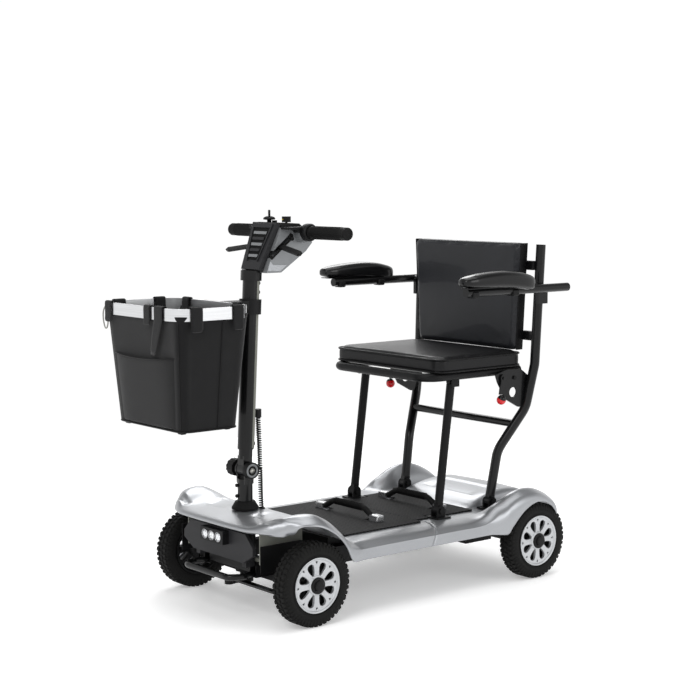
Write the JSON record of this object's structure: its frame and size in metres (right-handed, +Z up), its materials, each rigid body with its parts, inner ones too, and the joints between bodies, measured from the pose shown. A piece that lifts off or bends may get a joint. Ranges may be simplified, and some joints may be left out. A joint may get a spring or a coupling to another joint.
{
  "type": "four wheel mobility scooter",
  "caption": "Four-wheel mobility scooter with a steerable tilting tiller, front basket, folding padded seat with flip-up armrests, spoked wheels, floor mats and moulded fairings.",
  "frame": {"origin": "on the floor, under the middle of the whole scooter's bounding box", "axes": "+Z up, -Y the way it drives (the front), +X its left side"},
  "size_m": [0.606, 1.162, 0.9675],
  "materials": {
    "black_steel": "satin black paint on welded steel",
    "seat_steel": "gloss black paint on bent steel tube",
    "dark_grey_plastic": "fine grained dark grey moulding",
    "black_plastic": "fine grained black moulding",
    "clear_lens": "clear moulded lens",
    "silver_fairing": "metallic silver painted moulding",
    "mat_rubber": "textured black floor rubber",
    "grip_rubber": "ribbed soft black rubber",
    "silver_cap": "silver plated plastic",
    "liner_plastic": "plain grey sheet plastic",
    "cast_housing": "painted cast housing",
    "zinc_bolt": "zinc plated steel",
    "cord_rubber": "coiled rubber jacket",
    "rim_aluminium": "satin anodised band",
    "bag_fabric": "woven black bag cloth",
    "key_plastic": "black key head",
    "horn_plastic": "red button",
    "pad_vinyl": "grained black vinyl",
    "arm_pad": "glossy moulded foam skin",
    "latch_red": "red ball on a painted lever",
    "tyre_rubber": "black treaded rubber",
    "rim_paint": "silver painted spoked rim"
  },
  "bodies": {
    "chassis": {"chassis_frame": "black_steel", "front_axle_beam": "black_steel", "front_bumper": "black_steel", "front_panel": "dark_grey_plastic", "headlight_housing": "black_plastic", "headlight_lenses": "clear_lens", "front_fairing": "silver_fairing", "rear_fairing": "silver_fairing", "floor_mats": "mat_rubber", "carry_handles": "grip_rubber", "handle_caps": "silver_cap", "battery_pack": "black_plastic", "wheel_arch_liners": "liner_plastic", "transaxle": "cast_housing", "seat_brackets": "black_steel", "cord_grommet": "grip_rubber"},
    "steering_column": {"lower_column": "black_steel", "column_boot": "grip_rubber", "pitman_arm": "black_steel", "column_bolts": "zinc_bolt", "curly_cord": "cord_rubber"},
    "tilt_knob": {"tilt_knob": "black_plastic"},
    "tiller": {"upper_column": "black_steel", "column_sleeve": "black_steel", "tiller_bolts": "zinc_bolt", "cord_clip": "black_plastic", "head_body": "silver_fairing", "head_cover": "dark_grey_plastic", "dash_panel": "dark_grey_plastic", "handlebar": "black_steel", "grips": "grip_rubber", "basket_bracket": "black_steel", "basket_rim": "rim_aluminium", "basket_bag": "bag_fabric"},
    "throttle_lever": {"throttle_lever": "black_plastic"},
    "ignition_key": {"ignition_key": "key_plastic"},
    "speed_dial": {"speed_dial": "black_plastic"},
    "horn_button": {"horn_button": "horn_plastic"},
    "left_knuckle": {"left_knuckle": "black_steel"},
    "right_knuckle": {"right_knuckle": "black_steel"},
    "tie_rod": {"tie_rod": "black_steel"},
    "front_left_wheel": {"front_left_tyre": "tyre_rubber", "front_left_rim": "rim_paint"},
    "front_right_wheel": {"front_right_tyre": "tyre_rubber", "front_right_rim": "rim_paint"},
    "rear_left_wheel": {"rear_left_tyre": "tyre_rubber", "rear_left_rim": "rim_paint"},
    "rear_right_wheel": {"rear_right_tyre": "tyre_rubber", "rear_right_rim": "rim_paint"},
    "seat_back_frame": {"rear_seat_frame": "seat_steel", "backrest_pad": "pad_vinyl"},
    "front_legs": {"front_legs": "seat_steel"},
    "seat_pan": {"seat_pan_frame": "seat_steel", "seat_cushion": "pad_vinyl"},
    "left_armrest": {"left_armrest_bar": "seat_steel", "left_armrest_pad": "arm_pad"},
    "right_armrest": {"right_armrest_bar": "seat_steel", "right_armrest_pad": "arm_pad"},
    "left_latch": {"left_latch": "latch_red"},
    "right_latch": {"right_latch": "latch_red"}
  },
  "joints": [
    {"name": "steering", "type": "hinge", "parent": "chassis", "child": "steering_column", "pos_m": [0, -0.284, 0.1], "axis": [0, 0, 1], "range_deg": [-25, 25]},
    {"name": "left_kingpin", "type": "hinge", "parent": "chassis", "child": "left_knuckle", "pos_m": [0.19, -0.272, 0.1], "axis": [0, 0, 1], "range_deg": [-25, 25]},
    {"name": "right_kingpin", "type": "hinge", "parent": "chassis", "child": "right_knuckle", "pos_m": [-0.19, -0.272, 0.1], "axis": [0, 0, 1], "range_deg": [-25, 25]},
    {"name": "tie_rod_pivot", "type": "hinge", "parent": "steering_column", "child": "tie_rod", "pos_m": [0, -0.334, 0.07], "axis": [0, 0, 1], "range_deg": [-25, 25]},
    {"name": "tiller_tilt", "type": "hinge", "parent": "steering_column", "child": "tiller", "pos_m": [0, -0.284, 0.339], "axis": [1, 0, 0], "range_deg": [-10, 10], "deforming": ["curly_cord"]},
    {"name": "knob_turn", "type": "hinge", "parent": "steering_column", "child": "tilt_knob", "pos_m": [0, -0.284, 0.339], "axis": [1, 0, 0], "range_deg": [-180, 180]},
    {"name": "throttle_push", "type": "hinge", "parent": "tiller", "child": "throttle_lever", "pos_m": [0, -0.21, 0.88], "axis": [0, -0.6225, 0.7826], "range_deg": [-12, 12], "stiffness_Nm_per_rad": 2},
    {"name": "key_turn", "type": "hinge", "parent": "tiller", "child": "ignition_key", "pos_m": [-0.014, -0.196, 0.945], "axis": [0, 0, 1], "range_deg": [-90, 0]},
    {"name": "dial_turn", "type": "hinge", "parent": "tiller", "child": "speed_dial", "pos_m": [0.026, -0.174, 0.945], "axis": [0, 0, 1], "range_deg": [-135, 135]},
    {"name": "horn_press", "type": "slide", "parent": "tiller", "child": "horn_button", "axis": [0, 0, -1], "range_m": [0, 0.002], "stiffness_N_per_m": 400, "springref_m": -0.002},
    {"name": "front_left_spin", "type": "hinge", "parent": "left_knuckle", "child": "front_left_wheel", "pos_m": [0.246, -0.272, 0.1], "axis": [1, 0, 0], "continuous": true},
    {"name": "front_right_spin", "type": "hinge", "parent": "right_knuckle", "child": "front_right_wheel", "pos_m": [-0.246, -0.272, 0.1], "axis": [1, 0, 0], "continuous": true},
    {"name": "rear_left_spin", "type": "hinge", "parent": "chassis", "child": "rear_left_wheel", "pos_m": [0.246, 0.465, 0.1], "axis": [1, 0, 0], "continuous": true},
    {"name": "rear_right_spin", "type": "hinge", "parent": "chassis", "child": "rear_right_wheel", "pos_m": [-0.246, 0.465, 0.1], "axis": [1, 0, 0], "continuous": true},
    {"name": "seat_fold", "type": "hinge", "parent": "chassis", "child": "seat_back_frame", "pos_m": [0, 0.384, 0.199], "axis": [1, 0, 0], "range_deg": [0, 38]},
    {"name": "front_leg_fold", "type": "hinge", "parent": "chassis", "child": "front_legs", "pos_m": [0, 0.201, 0.199], "axis": [1, 0, 0], "range_deg": [0, 38]},
    {"name": "seat_pan_fold", "type": "hinge", "parent": "seat_back_frame", "child": "seat_pan", "pos_m": [0, 0.426, 0.528], "axis": [1, 0, 0], "range_deg": [-38, 0]},
    {"name": "left_armrest_flip", "type": "hinge", "parent": "seat_back_frame", "child": "left_armrest", "pos_m": [0.262, 0.498, 0.761], "axis": [-1, 0, 0], "range_deg": [0, 90]},
    {"name": "right_armrest_flip", "type": "hinge", "parent": "seat_back_frame", "child": "right_armrest", "pos_m": [-0.262, 0.498, 0.761], "axis": [-1, 0, 0], "range_deg": [0, 90]},
    {"name": "left_latch_turn", "type": "hinge", "parent": "seat_back_frame", "child": "left_latch", "pos_m": [0.219, 0.383, 0.53], "axis": [-1, 0, 0], "range_deg": [0, 25], "stiffness_Nm_per_rad": 1, "springref_deg": -17.19},
    {"name": "right_latch_turn", "type": "hinge", "parent": "seat_back_frame", "child": "right_latch", "pos_m": [-0.219, 0.383, 0.53], "axis": [-1, 0, 0], "range_deg": [0, 25], "stiffness_Nm_per_rad": 1, "springref_deg": -17.19}
  ],
  "couplings": [
    {"joint": "left_kingpin", "follows": "steering", "ratio": 1},
    {"joint": "right_kingpin", "follows": "steering", "ratio": 1},
    {"joint": "tie_rod_pivot", "follows": "steering", "ratio": -1},
    {"joint": "front_leg_fold", "follows": "seat_fold", "ratio": 1},
    {"joint": "seat_pan_fold", "follows": "seat_fold", "ratio": -1}
  ]
}
